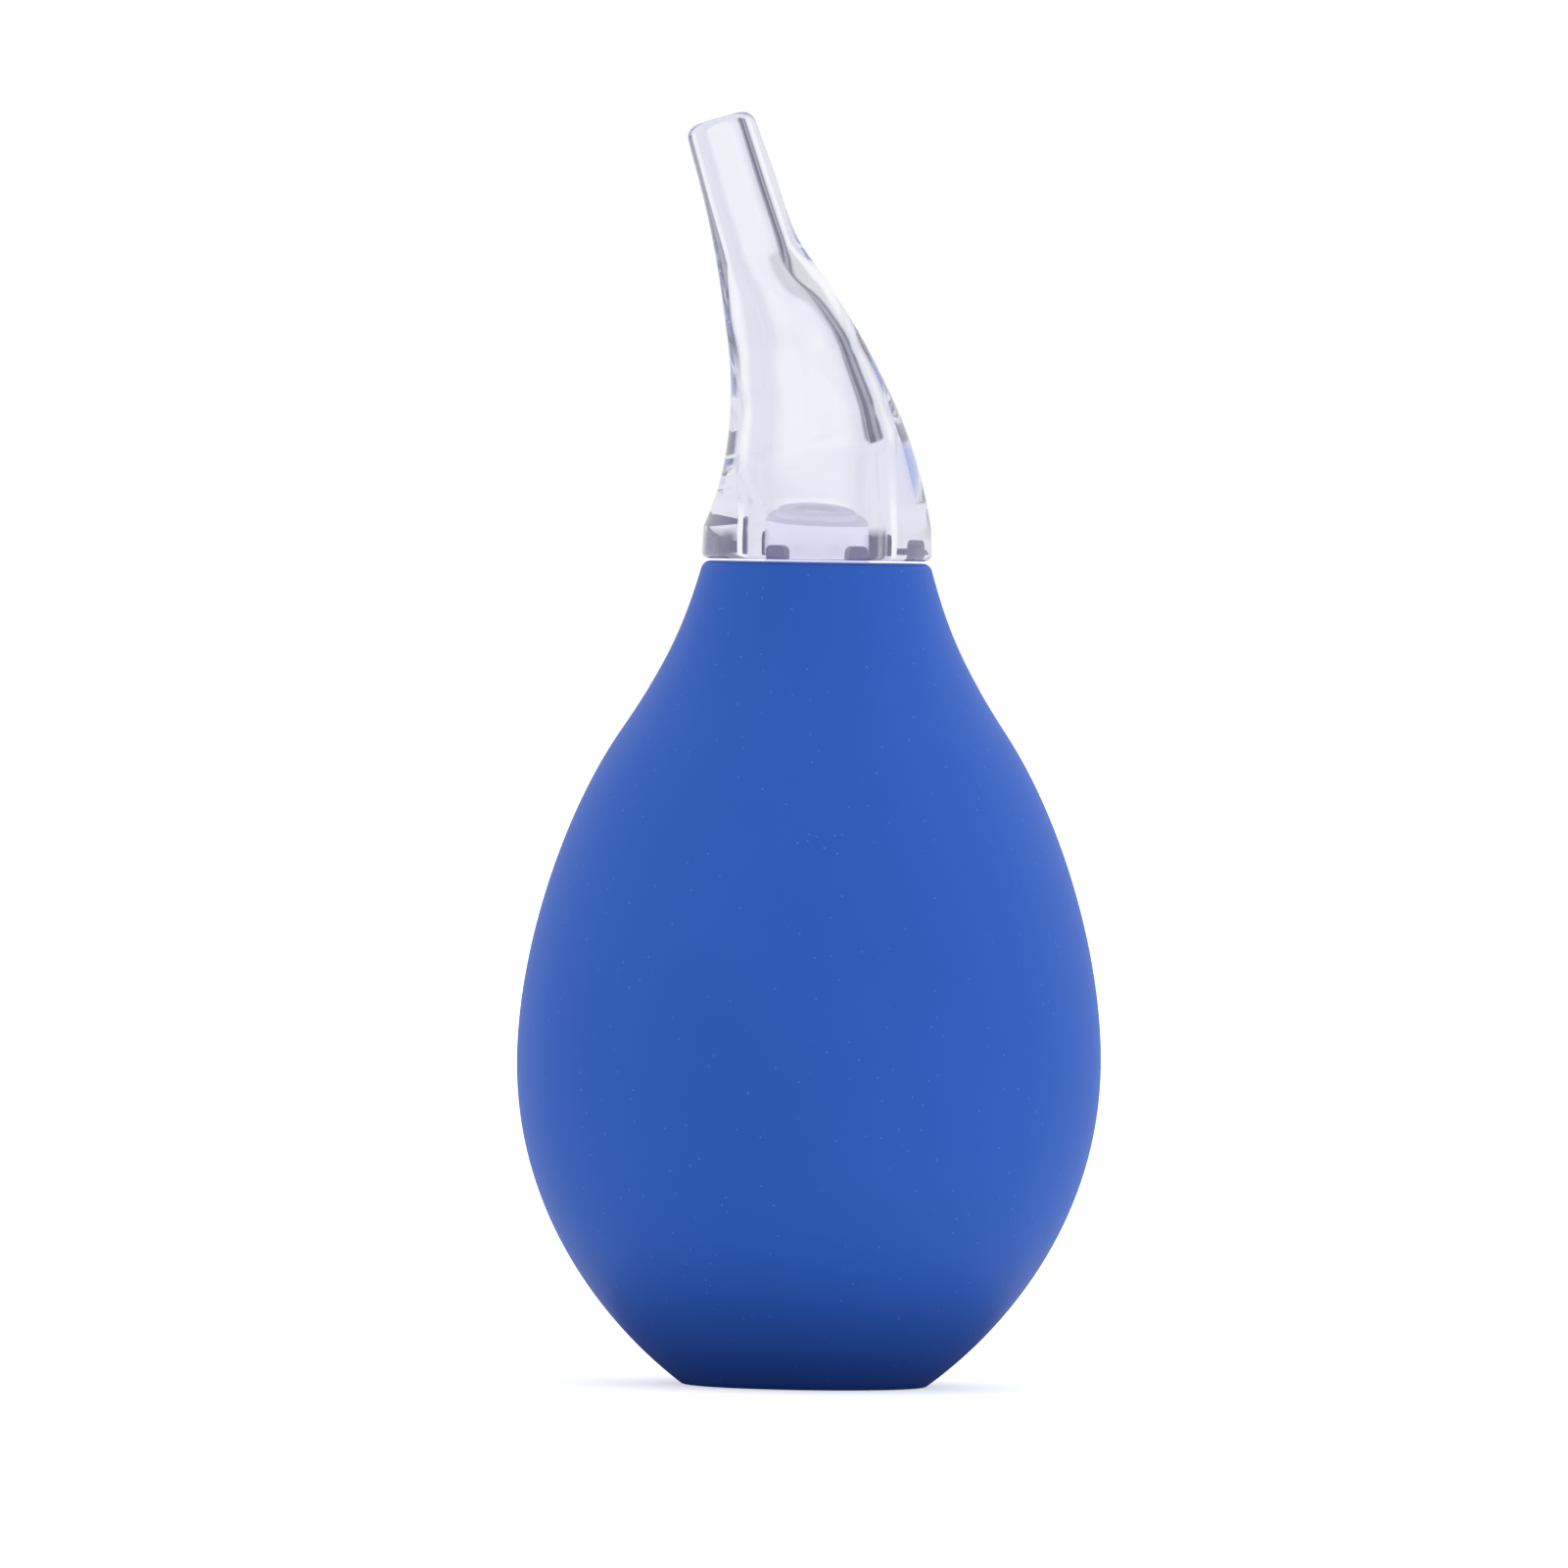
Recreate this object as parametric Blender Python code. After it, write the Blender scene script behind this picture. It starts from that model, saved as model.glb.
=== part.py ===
"""Nasal aspirator: a soft squeeze bulb with a bent clear nozzle plugged into its mouth.

Metres, +Z up. The origin is the centre of the bulb's flat foot. The nozzle bends towards -X, and the
XZ plane is the plane of symmetry. Every size below is in millimetres; MM turns it into metres.
"""

from math import cos, pi, sin, tau

import bmesh
import bpy
from mathutils import Matrix, Vector

MM = 0.001
GAP = 0.3  # running clearance between neighbouring pieces

# Bulb, a one-piece silicone moulding turned about Z
FOOT_R, FOOT_SPLAY = 8.13, 36.0  # flat foot, and how steeply the wall leaves it, in degrees above level
BELLY_R, BELLY_Z = 19.49, 21.57
SHOULDER_R, SHOULDER_Z, SHOULDER_LEAN = 12.87, 43.58, 33.9  # lean from upright, in degrees
RIM_R, RIM_Z, RIM_LEAN = 7.56, 54.95, 15.4
RIM_FILLET = 0.45
BULB_WALL = 2.2
BULB_SIDES = 48
MOUTH_R, MOUTH_DEPTH = 5.2, 7.4  # straight bore that grips the connector
SQUEEZE_R = 9.0  # the round patch of wall under each fingertip

# Connector, a clear insert: its spigot plugs into the bulb and its plug into the nozzle
SPIGOT_R, SPIGOT_END_Z = MOUTH_R - GAP, 46.0
BEAD_R = MOUTH_R + 0.4
SPIGOT_BORE_R = 3.6
PLUG_R, PLUG_TOP_Z = 3.2, 57.2
STUB_R, STUB_BORE_R, STUB_HEIGHT = 2.7, 1.4, 0.4
CONNECTOR_SIDES = 32

# Nozzle, a bent horn on a round base
NOZZLE_BOTTOM_Z = RIM_Z + 0.35
NOZZLE_BASE_R, NOZZLE_EDGE = 7.66, 0.45  # the base, and the rounding of its bottom edge
HORN_STATIONS = (  # centre x, centre z, lean from upright in degrees, outer radius
    (0.00, 57.2, 0.0, 7.60),
    (0.15, 58.9, 1.0, 7.13),
    (0.10, 61.2, 3.0, 6.52),
    (-0.25, 63.9, 6.0, 5.82),
    (-0.90, 66.7, 9.0, 5.07),
    (-1.80, 69.6, 12.0, 4.35),
    (-2.80, 72.1, 14.5, 3.72),
    (-3.55, 73.9, 16.0, 3.25),
    (-4.30, 75.7, 17.0, 2.83),
    (-5.20, 78.7, 17.5, 2.57),
    (-6.45, 82.6, 17.5, 2.38),
)
TIP_X, TIP_Z, TIP_R, TIP_EDGE = -7.03, 84.42, 2.34, 0.9
CAVITY_STATIONS = (  # the same for the bore and the chamber, from the mouth down to the plug
    (TIP_X, TIP_Z, 17.5, 1.35),
    (-4.10, 75.2, 17.5, 1.48),
    (-3.10, 73.5, 15.0, 2.12),
    (-2.05, 71.5, 13.0, 2.68),
    (-0.85, 67.6, 8.0, 3.10),
    (-0.35, 64.4, 3.0, 3.25),
    (0.00, 62.0, 0.0, PLUG_R + GAP),
    (0.00, NOZZLE_BOTTOM_Z, 0.0, PLUG_R + GAP),
)
NOZZLE_SIDES = 36

# Pockets in the nozzle's underside
POCKET_COUNT = 8
POCKET_WIDTH, POCKET_INNER_R, POCKET_OUTER_R = 1.3, 6.0, 7.1
SHORT_POCKET, TALL_POCKET = 0.95, 1.6  # depths; the tall ones sit beside the plane of symmetry


def remove_everything():
    for thing in list(bpy.data.objects):
        bpy.data.objects.remove(thing)


def material(name, colour, roughness, alpha=1.0):
    made = bpy.data.materials.new(name)
    made.use_nodes = True
    shader = made.node_tree.nodes["Principled BSDF"]
    shader.inputs["Base Color"].default_value = (*colour, 1.0)
    shader.inputs["Roughness"].default_value = roughness
    shader.inputs["Metallic"].default_value = 0.0
    shader.inputs["Alpha"].default_value = alpha
    return made


def add_object(name, mesh, look):
    """A new object in the scene, shaded smooth but for its sharp edges."""
    mesh.shade_smooth()
    mesh.set_sharp_from_angle(angle=pi / 6)
    mesh.materials.append(look)
    made = bpy.data.objects.new(name, mesh)
    bpy.context.collection.objects.link(made)
    return made


def mesh_from(name, form):
    mesh = bpy.data.meshes.new(name)
    form.to_mesh(mesh)
    form.free()
    return mesh


def slanted(degrees_from_level, length):
    """A step of this length in the (radius, height) plane."""
    angle = degrees_from_level * tau / 360
    return Vector((cos(angle), sin(angle))) * length


def bezier(start, start_handle, end_handle, end, t):
    """Where the cubic curve is at t, and which way it heads there."""
    u = 1 - t
    place = u**3 * start + 3 * u * u * t * start_handle + 3 * u * t * t * end_handle + t**3 * end
    heading = (
        u * u * (start_handle - start)
        + 2 * u * t * (end_handle - start_handle)
        + t * t * (end - end_handle)
    )
    return place, heading.normalized()


def bulb_outside(steps=(8, 9, 6)):
    """(radius, height) pairs with headings, from the foot's edge up to the rim's edge."""
    foot, belly = Vector((FOOT_R, 0)), Vector((BELLY_R, BELLY_Z))
    shoulder, rim = Vector((SHOULDER_R, SHOULDER_Z)), Vector((RIM_R, RIM_Z))
    shoulder_way = slanted(90 + SHOULDER_LEAN, 1)
    stretches = (
        (foot, foot + slanted(FOOT_SPLAY, 6.3), belly - Vector((0, 10.4)), belly),
        (belly, belly + Vector((0, 7.4)), shoulder - 6.7 * shoulder_way, shoulder),
        (shoulder, shoulder + 5.8 * shoulder_way, rim - slanted(90 + RIM_LEAN, 4.1), rim),
    )
    points = [bezier(*stretches[0], 0)]
    for stretch, count in zip(stretches, steps):
        points += [bezier(*stretch, step / count) for step in range(1, count + 1)]
    return points


def bulb_profile():
    """Half the bulb's section, from the floor's centre up the inside, over the rim and down the outside."""
    outside = bulb_outside()
    mouth_bottom = RIM_Z - MOUTH_DEPTH
    inside = []
    for place, heading in outside[1:]:
        inner = place - BULB_WALL * Vector((heading.y, -heading.x))
        if BULB_WALL < inner.y < mouth_bottom - 1 and inner.x > MOUTH_R:
            inside.append(inner)
    floor_corner = Vector((inside[0].x - 2, BULB_WALL))
    mouth = [Vector((MOUTH_R, mouth_bottom)), Vector((MOUTH_R, RIM_Z))]
    rim = [Vector((RIM_R - RIM_FILLET, RIM_Z)), Vector((RIM_R - 0.1, RIM_Z - 0.2))]
    below_rim = [place for place, _ in reversed(outside[:-1])]
    rim_side = outside[-1][0] - RIM_FILLET * slanted(90 + RIM_LEAN, 1)
    centre = [Vector((0, BULB_WALL))]
    return centre + [floor_corner] + inside + mouth + rim + [rim_side] + below_rim + [Vector((0, 0))]


def turned(name, profile, sides, look, closed=False):
    """A profile of (radius, height) points swept right round Z by a Screw modifier."""
    form = bmesh.new()
    points = [form.verts.new((place.x * MM, 0, place.y * MM)) for place in profile]
    followers = points[1:] + points[:1] if closed else points[1:]
    for here, there in zip(points, followers):
        form.edges.new((here, there))
    made = add_object(name, mesh_from(name, form), look)
    screw = made.modifiers.new("Turn", "SCREW")
    screw.steps = screw.render_steps = sides
    screw.use_merge_vertices = True
    screw.merge_threshold = 0.00001
    screw.use_smooth_shade = True
    return made


def as_cutter(thing):
    thing.hide_render = True
    thing.display_type = "WIRE"
    return thing


def boolean(target, operation, tool):
    step = target.modifiers.new(operation.title(), "BOOLEAN")
    step.operation = operation
    step.solver = "EXACT"
    step.object = tool


def finger_cylinder(name, radius, start_y, end_y, look):
    """A cylinder along Y at the height of the belly, to cut the wall patches out with."""
    form = bmesh.new()
    middle = Vector((0, (start_y + end_y) / 2, BELLY_Z)) * MM
    along_y = Matrix.Translation(middle) @ Matrix.Rotation(pi / 2, 4, "X")
    bmesh.ops.create_cone(
        form,
        cap_ends=True,
        segments=36,
        radius1=radius * MM,
        radius2=radius * MM,
        depth=abs(end_y - start_y) * MM,
        matrix=along_y,
    )
    return as_cutter(add_object(name, mesh_from(name, form), look))


def squeeze_axis(name):
    """An empty on the line that both wall patches travel along."""
    empty = bpy.data.objects.new(name, None)
    empty.location = (0, 0, BELLY_Z * MM)
    bpy.context.collection.objects.link(empty)
    return empty


def make_bulb(silicone):
    """The bulb, and its front and back wall patches, which stand for the wall that fingers press in."""
    beyond = BELLY_R + 5
    hole = finger_cylinder("finger_hole_cutter", SQUEEZE_R + GAP, -beyond, beyond, silicone)
    boolean(turned("bulb", bulb_profile(), BULB_SIDES, silicone), "DIFFERENCE", hole)
    axis = squeeze_axis("squeeze_axis")
    for side, sign in (("front", -1), ("back", 1)):
        wall = turned(f"bulb_{side}_wall", bulb_profile(), BULB_SIDES, silicone)
        cutter = finger_cylinder(f"{side}_wall_cutter", SQUEEZE_R, sign, sign * beyond, silicone)
        boolean(wall, "INTERSECT", cutter)
        wall.parent = axis
        wall.location = (0, 0, -BELLY_Z * MM)


def make_connector(clear):
    """Turned insert: a spigot with a retaining bead, a plug and a short stub tube, bored right through."""
    profile = (
        (STUB_R, PLUG_TOP_Z + STUB_HEIGHT),
        (STUB_R, PLUG_TOP_Z),
        (PLUG_R, PLUG_TOP_Z),
        (PLUG_R, RIM_Z),
        (SPIGOT_R, RIM_Z),
        (SPIGOT_R, SPIGOT_END_Z + 1.3),
        (BEAD_R, SPIGOT_END_Z + 0.9),
        (BEAD_R, SPIGOT_END_Z + 0.6),
        (SPIGOT_R - 0.3, SPIGOT_END_Z),
        (SPIGOT_BORE_R, SPIGOT_END_Z),
        (SPIGOT_BORE_R, RIM_Z - 2.0),
        (STUB_BORE_R, RIM_Z - 0.5),
        (STUB_BORE_R, PLUG_TOP_Z + STUB_HEIGHT),
    )
    turned("connector", [Vector(point) for point in profile], CONNECTOR_SIDES, clear, closed=True)


def ring_at(x, z, lean, radius):
    """A ring as its centre, the way its axis points, and its radius."""
    angle = lean * tau / 360
    return Vector((x, 0, z)), Vector((-sin(angle), 0, cos(angle))), radius


def outside_rings():
    """The nozzle's outer rings, from the bottom face up the base and the horn to the mouth's edge."""
    rings = [
        ring_at(0, NOZZLE_BOTTOM_Z + NOZZLE_EDGE * (1 - cos(turn)), 0, NOZZLE_BASE_R - NOZZLE_EDGE * (1 - sin(turn)))
        for turn in (0, pi / 4, pi / 2)
    ]
    rings += [ring_at(*station) for station in HORN_STATIONS]
    mouth, way, _ = ring_at(TIP_X, TIP_Z, HORN_STATIONS[-1][2], 0)
    for turn in (0, pi / 6, pi / 3, pi / 2):
        centre = mouth - TIP_EDGE * (1 - sin(turn)) * way
        rings.append((centre, way, TIP_R - TIP_EDGE * (1 - cos(turn))))
    return rings


def skinned(name, rings, sides, look):
    """A closed skin through all the rings, the last of which joins back to the first."""
    form = bmesh.new()
    loops = []
    for centre, direction, radius in rings:
        across = Vector((direction.z, 0, -direction.x))
        axes = Matrix((across, Vector((0, 1, 0)), direction)).transposed().to_4x4()
        place = Matrix.Translation(centre * MM) @ axes
        loops.append(bmesh.ops.create_circle(form, segments=sides, radius=radius * MM, matrix=place)["verts"])
    for lower, upper in zip(loops, loops[1:] + loops[:1]):
        for side in range(sides):
            after = (side + 1) % sides
            form.faces.new((lower[side], lower[after], upper[after], upper[side]))
    bmesh.ops.recalc_face_normals(form, faces=form.faces)
    return add_object(name, mesh_from(name, form), look)


def pocket_cutter(look):
    """One arched block for each pocket, spaced evenly round Z, half a pitch off the X axis."""
    form = bmesh.new()
    below = 1.0  # how far the blocks stand out under the nozzle
    for index in range(POCKET_COUNT):
        turn = Matrix.Rotation((index + 0.5) * tau / POCKET_COUNT, 4, "Z")
        beside_x = index % (POCKET_COUNT // 2) in (0, POCKET_COUNT // 2 - 1)
        depth = TALL_POCKET if beside_x else SHORT_POCKET
        size = Vector((POCKET_OUTER_R - POCKET_INNER_R, POCKET_WIDTH, depth + below))
        middle = Vector(((POCKET_INNER_R + POCKET_OUTER_R) / 2, 0, NOZZLE_BOTTOM_Z + (depth - below) / 2))
        place = turn @ Matrix.Translation(middle * MM) @ Matrix.Diagonal((size * MM).to_4d())
        block = bmesh.ops.create_cube(form, size=1.0, matrix=place)["verts"]
        top = {vert for vert in block if vert.co.z > middle.z * MM}
        outwards = turn.to_3x3() @ Vector((1, 0, 0))
        ridges = []
        for edge in {edge for vert in top for edge in vert.link_edges}:
            way = (edge.verts[1].co - edge.verts[0].co).normalized()
            if set(edge.verts) <= top and abs(way @ outwards) > 0.9:
                ridges.append(edge)
        bmesh.ops.bevel(
            form, geom=ridges, offset=POCKET_WIDTH / 4 * MM, segments=3, profile=0.5, affect="EDGES"
        )
    return as_cutter(add_object("pocket_cutter", mesh_from("pocket_cutter", form), look))


def make_nozzle(clear):
    rings = outside_rings() + [ring_at(*station) for station in CAVITY_STATIONS]
    boolean(skinned("nozzle", rings, NOZZLE_SIDES, clear), "DIFFERENCE", pocket_cutter(clear))


def main():
    remove_everything()
    silicone = material("silicone_blue", (0.035, 0.105, 0.42), 0.55)
    clear = material("clear_plastic", (0.86, 0.86, 0.93), 0.08, alpha=0.35)
    make_bulb(silicone)
    make_connector(clear)
    make_nozzle(clear)


main()
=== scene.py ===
# %% [markdown]
# # A nasal aspirator, finished in Blender
# The object is a soft silicone bulb with a bent clear nozzle. The bulb is squeezed, the tip goes to the
# nostril, and the bulb draws in air as it springs back. The CAD model gives the frame: which pieces there
# are, where they are and how they move. This script makes the surfaces and materials that are looked at.

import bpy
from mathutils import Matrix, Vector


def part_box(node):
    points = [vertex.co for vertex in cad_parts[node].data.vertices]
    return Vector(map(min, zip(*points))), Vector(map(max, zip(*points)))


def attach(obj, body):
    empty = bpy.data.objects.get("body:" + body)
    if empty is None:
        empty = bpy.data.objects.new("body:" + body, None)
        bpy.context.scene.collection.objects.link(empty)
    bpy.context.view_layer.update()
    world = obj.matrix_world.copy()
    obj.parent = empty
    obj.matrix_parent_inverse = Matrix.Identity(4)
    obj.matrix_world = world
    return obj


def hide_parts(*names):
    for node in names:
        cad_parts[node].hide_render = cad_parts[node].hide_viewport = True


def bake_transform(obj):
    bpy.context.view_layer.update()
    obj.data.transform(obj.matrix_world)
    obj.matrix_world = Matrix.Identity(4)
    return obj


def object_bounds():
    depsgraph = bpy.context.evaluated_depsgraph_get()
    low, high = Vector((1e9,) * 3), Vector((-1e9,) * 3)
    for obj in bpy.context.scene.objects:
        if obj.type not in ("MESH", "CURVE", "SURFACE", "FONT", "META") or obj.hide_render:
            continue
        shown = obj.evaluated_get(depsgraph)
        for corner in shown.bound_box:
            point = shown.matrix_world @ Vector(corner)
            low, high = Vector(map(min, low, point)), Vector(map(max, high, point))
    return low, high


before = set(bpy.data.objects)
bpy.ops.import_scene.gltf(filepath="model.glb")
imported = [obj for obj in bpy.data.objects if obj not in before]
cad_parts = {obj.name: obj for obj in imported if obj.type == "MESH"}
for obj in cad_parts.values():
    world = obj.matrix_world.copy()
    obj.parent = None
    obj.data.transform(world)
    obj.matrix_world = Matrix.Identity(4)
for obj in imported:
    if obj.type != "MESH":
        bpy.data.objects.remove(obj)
cad_low, cad_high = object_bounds()

# %% [markdown]
# ## Sizes come from the frame
# Plastic and silicone parts are drawn in millimetres, so the numbers below are millimetres and MM turns them
# into metres. What the CAD model already fixes, such as the rim's height and the belly's radius, is read from
# it and not typed again, so the finished pieces sit where the moving bodies are. The nozzle is seated a
# hair's breadth lower than in CAD, which keeps a running gap there that the real parts don't have.

# %% Modules, units and the sizes read from the frame
from math import cos, pi, radians, sin, tau

import bpy
import numpy as np
from mathutils import Matrix, Vector

MM = 0.001
DOUBLES = 0.001 * MM  # points closer than this are one point
NOZZLE_SEATING = 0.22
STUB_HEIGHT = 0.4

connector_low, connector_high = (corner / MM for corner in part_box("connector"))
RIM_Z = (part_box("bulb")[1] / MM).z
BELLY_R = (cad_high.x - cad_low.x) / 2 / MM
NOZZLE_BOTTOM_Z = (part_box("nozzle")[0] / MM).z - NOZZLE_SEATING
STUB_TOP_Z = connector_high.z
PLUG_TOP_Z = STUB_TOP_Z - STUB_HEIGHT
print(f"rim at {RIM_Z:.2f} mm, belly radius {BELLY_R:.2f} mm, nozzle from {NOZZLE_BOTTOM_Z:.2f} mm")

# %% [markdown]
# ## Working by hand in code
# Each piece starts from a primitive and is shaped in edit mode with operators, as with the mouse. An
# operator works on whatever is selected, so the first helper clears the selection before a primitive is
# added. Finished pieces keep their place in the mesh and their object at the origin.

# %% Helpers for selecting and for edit mode
def add_primitive(name, operator, **settings):
    """Adds a primitive as the only selected object, and opens it in edit mode with everything selected."""
    if bpy.context.object and bpy.context.object.mode == "EDIT":
        bpy.ops.object.mode_set(mode="OBJECT")
    bpy.ops.object.select_all(action="DESELECT")
    operator(**settings)
    piece = bpy.context.object
    piece.name = piece.data.name = name
    bpy.ops.object.mode_set(mode="EDIT")
    bpy.ops.mesh.select_mode(type="VERT")
    bpy.ops.mesh.select_all(action="SELECT")
    return piece


def leave_edit_mode(piece, sharp_angle):
    """Merges doubles, turns the faces outwards, applies the place and shades the piece smooth."""
    bpy.ops.mesh.select_all(action="SELECT")
    bpy.ops.mesh.remove_doubles(threshold=DOUBLES)
    bpy.ops.mesh.normals_make_consistent(inside=False)
    bpy.ops.object.mode_set(mode="OBJECT")
    bpy.ops.object.transform_apply(location=True, rotation=True, scale=True)
    bpy.ops.object.shade_smooth_by_angle(angle=radians(sharp_angle))
    print(piece.name, "has", len(piece.data.vertices), "points and", len(piece.data.polygons), "faces")
    return piece


def open_edges():
    """Selects the edges that only one face uses: the rims of holes."""
    bpy.ops.mesh.select_mode(type="EDGE")
    bpy.ops.mesh.select_all(action="DESELECT")
    bpy.ops.mesh.select_non_manifold()


def apply_modifier(piece, kind, **settings):
    """Adds one modifier, sets it up and applies it."""
    bpy.ops.object.select_all(action="DESELECT")
    piece.select_set(True)
    bpy.context.view_layer.objects.active = piece
    modifier = piece.modifiers.new(kind.title(), kind)
    for setting, value in settings.items():
        setattr(modifier, setting, value)
    bpy.ops.object.modifier_apply(modifier=modifier.name)


# %% [markdown]
# ## Turning on a lathe
# A round piece is half of its section, spun about the upright axis. The section is drawn by extruding one
# point from place to place. A half turn gives half of the piece, which is what the bulb needs.

# %% Helpers for turned pieces
def draw_profile(name, points):
    """One point, extruded through (radius, height) points given in millimetres."""
    start = Vector((points[0][0], 0, points[0][1])) * MM
    piece = add_primitive(name, bpy.ops.mesh.primitive_plane_add, size=MM, location=start)
    bpy.ops.mesh.merge(type="CENTER")
    here = points[0]
    for there in points[1:]:
        step = ((there[0] - here[0]) * MM, 0, (there[1] - here[1]) * MM)
        bpy.ops.mesh.extrude_vertices_move(TRANSFORM_OT_translate={"value": step})
        here = there
    return piece


def spin(angle, steps):
    bpy.ops.mesh.select_all(action="SELECT")
    bpy.ops.mesh.spin(steps=steps, angle=angle, center=(0, 0, 0), axis=(0, 0, 1), use_auto_merge=False)


def curve_between(start, start_handle, end_handle, end, count):
    """Points along a cubic curve, without its first point."""
    t = np.linspace(0, 1, count + 1)[1:, None]
    u = 1 - t
    corners = [np.array(point, float) for point in (start, start_handle, end_handle, end)]
    return u**3 * corners[0] + 3 * u * u * t * corners[1] + 3 * u * t * t * corners[2] + t**3 * corners[3]


def step_along(degrees_above_level, length):
    angle = radians(degrees_above_level)
    return np.array((cos(angle), sin(angle))) * length


# %% [markdown]
# ## The bulb's outline
# From the foot the wall splays out to the belly, rounds over it, and sweeps up a long shoulder to the
# mouth. Three cubic curves give that line with no flats. The foot has a crisp edge, and the mouth's rim a
# small soft rounding, as moulded silicone has.

# %% The bulb's outline, in millimetres
FOOT_R, FOOT_SPLAY = 8.13, 36.0
BELLY_Z = 21.57
SHOULDER_R, SHOULDER_Z, SHOULDER_LEAN = 12.87, 43.58, 33.9
RIM_R, RIM_LEAN = 7.56, 15.4
RIM_FILLET, MOUTH_ROUNDING, FOOT_ROUNDING = 0.5, 0.25, 0.12
BULB_WALL, MOUTH_R, MOUTH_DEPTH = 2.2, 5.2, 7.4
FOOT_HANDLE, BELLY_LOWER_HANDLE = 6.3, 10.4
BELLY_UPPER_HANDLE, SHOULDER_LOWER_HANDLE = 7.4, 6.7
SHOULDER_UPPER_HANDLE, RIM_HANDLE = 5.8, 4.1
BODY_STEPS, NECK_STEPS = 34, 20

foot = np.array((FOOT_R, 0.0))
belly = np.array((BELLY_R, BELLY_Z))
shoulder = np.array((SHOULDER_R, SHOULDER_Z))
rim = np.array((RIM_R, RIM_Z))
shoulder_way, up_to_rim = step_along(90 + SHOULDER_LEAN, 1), step_along(90 + RIM_LEAN, 1)
above_foot, below_belly = foot + step_along(FOOT_SPLAY, FOOT_HANDLE), belly - (0, BELLY_LOWER_HANDLE)
above_belly, below_shoulder = belly + (0, BELLY_UPPER_HANDLE), shoulder - SHOULDER_LOWER_HANDLE * shoulder_way
above_shoulder, below_rim = shoulder + SHOULDER_UPPER_HANDLE * shoulder_way, rim - RIM_HANDLE * up_to_rim
stretches = (
    (foot, above_foot, below_belly, belly, BODY_STEPS),
    (belly, above_belly, below_shoulder, shoulder, BODY_STEPS),
    (shoulder, above_shoulder, below_rim, rim, NECK_STEPS),
)
outside = np.concatenate([[foot]] + [curve_between(*stretch) for stretch in stretches])
print("outline points:", len(outside), "widest", round(outside[:, 0].max(), 2), "mm")


# %% [markdown]
# ## From outline to section
# The inside of a moulding follows its outside at the wall's thickness, so its points are the outline's own
# points, moved square to the outline. Below the mouth the wall sweeps in to the straight bore that grips the
# connector. Every corner gets a small rounding, because a rounded edge catches a line of light and a
# mathematically sharp one catches none.


# %% The whole section: inside, rim, outside and foot
def rounded_corner(corner, way_in, way_out, radius, count=6):
    """Points that round a corner off, between the way that leads in and the way that leads out."""
    start, end = corner - way_in * radius, corner + way_out * radius
    pull = 0.55  # how far the handles reach towards the corner: this much is close to a circle's arc
    start_handle, end_handle = start + (corner - start) * pull, end + (corner - end) * pull
    return np.concatenate([[start], curve_between(start, start_handle, end_handle, end, count)])


def wall_inside(outline, wall):
    """The outline moved inwards by the wall's thickness, square to itself."""
    ways = np.gradient(outline, axis=0)
    ways /= np.linalg.norm(ways, axis=1)[:, None]
    return outline - wall * np.column_stack([ways[:, 1], -ways[:, 0]])


mouth_bottom = RIM_Z - MOUTH_DEPTH
inner = wall_inside(outside, BULB_WALL)
inner = inner[(inner[:, 1] > BULB_WALL + 0.8) & (inner[:, 1] < mouth_bottom - 1.5)]
throat_end = (MOUTH_R, mouth_bottom + 0.6)
throat = curve_between(inner[-1], inner[-1] + (-0.8, 1.0), (MOUTH_R + 0.5, mouth_bottom), throat_end, 6)
floor = curve_between((0, BULB_WALL), (3, BULB_WALL), inner[0] - (1.4, 0.9), inner[0], 8)
level, upright = np.array((1.0, 0.0)), np.array((0.0, 1.0))
section = np.concatenate(
    [
        [(0, BULB_WALL)],
        floor,
        inner[1:],
        throat,
        rounded_corner(np.array((MOUTH_R, RIM_Z)), upright, level, MOUTH_ROUNDING),
        rounded_corner(rim, level, -up_to_rim, RIM_FILLET),
        outside[::-1][1:-1],
        rounded_corner(foot, -step_along(FOOT_SPLAY, 1), -level, FOOT_ROUNDING, 3),
        [(FOOT_R / 2, 0), (0, 0)],
    ]
)
print("section points:", len(section))

# %% [markdown]
# ## Two half shells
# The bulb is one moulding, but its front is pressed one way and its back the other. So it is made as two
# halves that meet at the middle plane, each a closed shell: the section is spun half a turn, one half each
# way, and the open edge is filled with one face. Neither half moves where they meet, so no seam opens.


# %% Spin the two halves of the bulb
HALF_TURN_STEPS, BULB_SHARP_ANGLE = 120, 32


def bulb_half(name, angle):
    piece = draw_profile(name, section)
    spin(angle, HALF_TURN_STEPS)
    bpy.ops.mesh.select_all(action="SELECT")
    bpy.ops.mesh.remove_doubles(threshold=DOUBLES)
    open_edges()
    bpy.ops.mesh.edge_face_add()
    return leave_edit_mode(piece, BULB_SHARP_ANGLE)


bulb_front = bulb_half("bulb_front_half", pi)
bulb_back = bulb_half("bulb_back_half", -pi)

# %% [markdown]
# ## The connector
# A clear insert plugs into the bulb's mouth with its spigot, which has a bead to hold it, and into the
# nozzle with its plug. A short stub tube stands in the nozzle's chamber. It is turned in one go, as a full
# turn this time, with small bevels where a mould would have them. The bore narrows at the stub tube, which
# keeps what was drawn in from running back.

# %% Turn the connector
CONNECTOR_TURN_STEPS, CONNECTOR_SHARP_ANGLE = 128, 25
SPIGOT_R, SPIGOT_BORE_R, BEAD_R = 4.9, 3.6, (connector_high.x - connector_low.x) / 2
SPIGOT_END_Z = connector_low.z
PLUG_R, STUB_R, STUB_BORE_R = 3.44, 2.7, 1.4

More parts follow.
